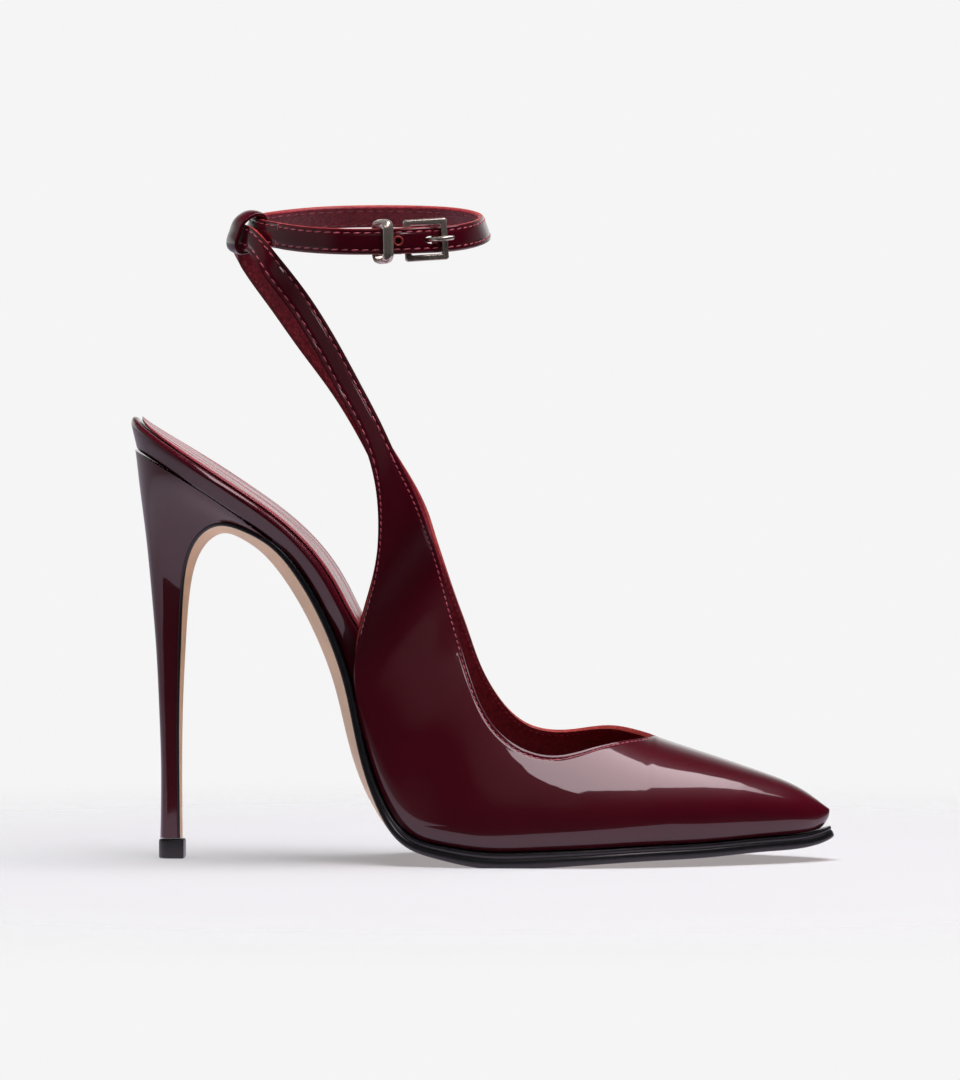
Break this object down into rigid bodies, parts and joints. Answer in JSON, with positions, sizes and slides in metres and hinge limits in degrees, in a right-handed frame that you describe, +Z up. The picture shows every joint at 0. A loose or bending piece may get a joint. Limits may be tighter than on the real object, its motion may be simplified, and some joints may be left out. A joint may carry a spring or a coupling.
{
  "type": "high heeled shoe",
  "caption": "Pointed-toe stiletto in patent leather with a cut-away back, tall side wings that taper into straps, and a buckled ankle strap.",
  "frame": {"origin": "centre of the bounding box, on the floor", "axes": "+X towards the toe, +Y towards the inner side of the foot, +Z up"},
  "size_m": [0.2043, 0.0749, 0.192],
  "materials": {
    "patent": "gloss",
    "sole_leather": "satin",
    "top_piece": "matte",
    "sock": "satin",
    "buckle_metal": "gloss"
  },
  "bodies": {
    "root": {"outsole": "sole_leather", "heel": "patent", "top_piece": "top_piece", "footbed": "patent", "insole": "sock", "upper": "patent", "back_loop": "patent", "ankle_strap": "patent", "buckle_frame": "buckle_metal", "buckle_prong": "buckle_metal", "strap_keeper": "buckle_metal"}
  },
  "joints": []
}
